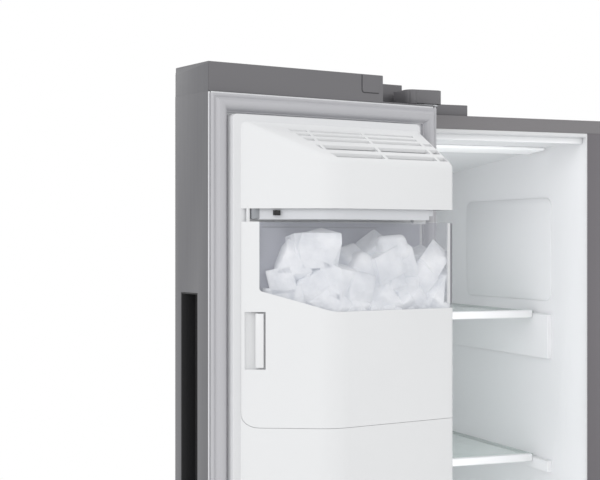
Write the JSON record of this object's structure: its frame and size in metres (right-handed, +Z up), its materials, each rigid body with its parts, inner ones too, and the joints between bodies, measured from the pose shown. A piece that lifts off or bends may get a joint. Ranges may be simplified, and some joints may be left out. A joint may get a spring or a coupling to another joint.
{
  "type": "side by side refrigerator",
  "caption": "Side by side refrigerator with its doors open, an ice maker with a clear bucket on the freezer door, shelves, drawers and recessed handles.",
  "frame": {"origin": "on the floor, in the middle of the cabinet's width, below the front edge of the cabinet without its doors", "axes": "+X towards the fridge side, +Y towards the back, +Z up"},
  "size_m": [1.7637, 1.0454, 1.782],
  "materials": {
    "steel_skin": "brushed grey steel",
    "wrapper_steel": "grey painted steel",
    "back_steel": "galvanised sheet",
    "cap_plastic": "grey moulded plastic",
    "white_liner": "smooth white plastic",
    "white_ice_maker": "satin white plastic",
    "tray_grey": "grey plastic",
    "clear_plastic": "clear plastic",
    "glass_shelf": "tempered glass",
    "light_lens": "frosted lens",
    "gasket_rubber": "soft light grey vinyl",
    "foam": "rigid foam",
    "ice": "cloudy ice",
    "handle_black": "black plastic",
    "black_gloss": "black gloss panel",
    "grey_plastic": "grey plastic",
    "plain_steel": "zinc plated steel",
    "coil_aluminium": "bare aluminium",
    "compressor_black": "black paint",
    "white_nylon": "white nylon",
    "black_rubber": "black rubber",
    "fitting_brass": "brass"
  },
  "bodies": {
    "root": {"cabinet_wrapper": "wrapper_steel", "back_panel": "back_steel", "machine_cover": "back_steel", "cabinet_foam": "foam", "mullion_strip": "steel_skin", "freezer_liner": "white_liner", "fridge_liner": "white_liner", "shelf_glass": "glass_shelf", "shelf_trims": "white_ice_maker", "ceiling_lights": "light_lens", "freezer_back_cover": "white_liner", "evaporator": "coil_aluminium", "condenser": "coil_aluminium", "compressor": "compressor_black", "fan_motors": "compressor_black", "base_frame": "back_steel", "toe_grille": "cap_plastic", "rear_fittings": "fitting_brass", "top_hinges": "plain_steel", "hinge_covers": "cap_plastic", "bottom_hinges": "plain_steel", "hinge_screws": "plain_steel"},
    "freezer_door": {"freezer_door_skin": "steel_skin", "freezer_top_cap": "cap_plastic", "freezer_base_cap": "cap_plastic", "freezer_door_foam": "foam", "freezer_door_liner": "white_liner", "freezer_door_gasket": "gasket_rubber", "freezer_handle_pocket": "handle_black", "freezer_door_bins": "clear_plastic", "dispenser_recess": "handle_black", "dispenser_panel": "black_gloss", "ice_housing": "white_ice_maker", "ice_drive_box": "tray_grey", "ice_lower_cover": "white_ice_maker"},
    "fridge_door": {"fridge_door_skin": "steel_skin", "fridge_door_caps": "cap_plastic", "fridge_door_foam": "foam", "fridge_door_liner": "white_liner", "fridge_door_gasket": "gasket_rubber", "fridge_handle_pocket": "handle_black", "fridge_door_bins": "clear_plastic"},
    "ice_bucket": {"ice_bucket_body": "white_ice_maker", "ice_bucket_window": "clear_plastic", "ice_pile": "ice"},
    "auger_body": {"auger": "plain_steel"},
    "latch": {"bucket_latch": "tray_grey"},
    "tray": {"ice_tray": "tray_grey"},
    "paddle": {"dispenser_paddle": "handle_black"},
    "drip": {"drip_tray": "grey_plastic"},
    "left_foot": {"foot_left": "black_rubber"},
    "right_foot": {"foot_right": "black_rubber"},
    "rollers": {"rear_rollers": "black_rubber"},
    "condenser_wheel": {"condenser_fan": "handle_black"},
    "evaporator_wheel": {"evaporator_fan": "white_nylon"},
    "filter": {"water_filter": "white_nylon"},
    "upper_freezer_drawer": {"freezer_drawer_upper": "clear_plastic"},
    "lower_freezer_drawer": {"freezer_drawer_lower": "clear_plastic"},
    "upper_crisper": {"crisper_upper": "clear_plastic"},
    "lower_crisper": {"crisper_lower": "clear_plastic"}
  },
  "joints": [
    {"name": "freezer_door_hinge", "type": "hinge", "parent": "root", "child": "freezer_door", "pos_m": [-0.4428, -0.0621, 1], "axis": [0, 0, -1], "range_deg": [-168.06, 0]},
    {"name": "fridge_door_hinge", "type": "hinge", "parent": "root", "child": "fridge_door", "pos_m": [0.4428, -0.0621, 1], "axis": [0, 0, 1], "range_deg": [-168.06, 0]},
    {"name": "ice_bucket_slide", "type": "slide", "parent": "freezer_door", "child": "ice_bucket", "axis": [0.2069, -0.9784, 0], "range_m": [0, 0.18]},
    {"name": "auger_spin", "type": "hinge", "parent": "ice_bucket", "child": "auger_body", "pos_m": [-0.60319, -0.20651, 1.335], "axis": [0.9784, 0.2069, 0], "continuous": true},
    {"name": "bucket_latch_swing", "type": "hinge", "parent": "ice_bucket", "child": "latch", "pos_m": [-0.75177, -0.20489, 1.398], "axis": [0, 0, -1], "range_deg": [0, 20], "stiffness_Nm_per_rad": 0.05},
    {"name": "ice_tray_tip", "type": "hinge", "parent": "freezer_door", "child": "tray", "pos_m": [-0.60319, -0.20651, 1.608], "axis": [0.9784, 0.2069, 0], "range_deg": [0, 150]},
    {"name": "dispenser_paddle_press", "type": "hinge", "parent": "freezer_door", "child": "paddle", "pos_m": [-0.62415, -0.1074, 1.164], "axis": [-0.9784, -0.2069, 0], "range_deg": [0, 5], "stiffness_Nm_per_rad": 0.6},
    {"name": "drip_tray_slide", "type": "slide", "parent": "freezer_door", "child": "drip", "axis": [-0.2069, 0.9784, 0], "range_m": [0, 0.06]},
    {"name": "foot_left_turn", "type": "hinge", "parent": "root", "child": "left_foot", "pos_m": [-0.432, 0.05, 0], "axis": [0, 0, 1], "continuous": true},
    {"name": "foot_right_turn", "type": "hinge", "parent": "root", "child": "right_foot", "pos_m": [0.432, 0.05, 0], "axis": [0, 0, 1], "continuous": true},
    {"name": "rear_rollers_roll", "type": "hinge", "parent": "root", "child": "rollers", "pos_m": [0, 0.65, 0.02], "axis": [1, 0, 0], "continuous": true},
    {"name": "condenser_fan_spin", "type": "hinge", "parent": "root", "child": "condenser_wheel", "pos_m": [-0.03, 0.615, 0.145], "axis": [1, 0, 0], "continuous": true},
    {"name": "evaporator_fan_spin", "type": "hinge", "parent": "root", "child": "evaporator_wheel", "pos_m": [-0.249, 0.598, 1.44], "axis": [0, 1, 0], "continuous": true},
    {"name": "water_filter_turn", "type": "hinge", "parent": "root", "child": "filter", "pos_m": [0.36, 0.57, 1.642], "axis": [0, 1, 0], "range_deg": [0, 90]},
    {"name": "upper_freezer_drawer_slide", "type": "slide", "parent": "root", "child": "upper_freezer_drawer", "axis": [0, -1, 0], "range_m": [0, 0.3]},
    {"name": "lower_freezer_drawer_slide", "type": "slide", "parent": "root", "child": "lower_freezer_drawer", "axis": [0, -1, 0], "range_m": [0, 0.22]},
    {"name": "upper_crisper_slide", "type": "slide", "parent": "root", "child": "upper_crisper", "axis": [0, -1, 0], "range_m": [0, 0.3]},
    {"name": "lower_crisper_slide", "type": "slide", "parent": "root", "child": "lower_crisper", "axis": [0, -1, 0], "range_m": [0, 0.22]}
  ]
}
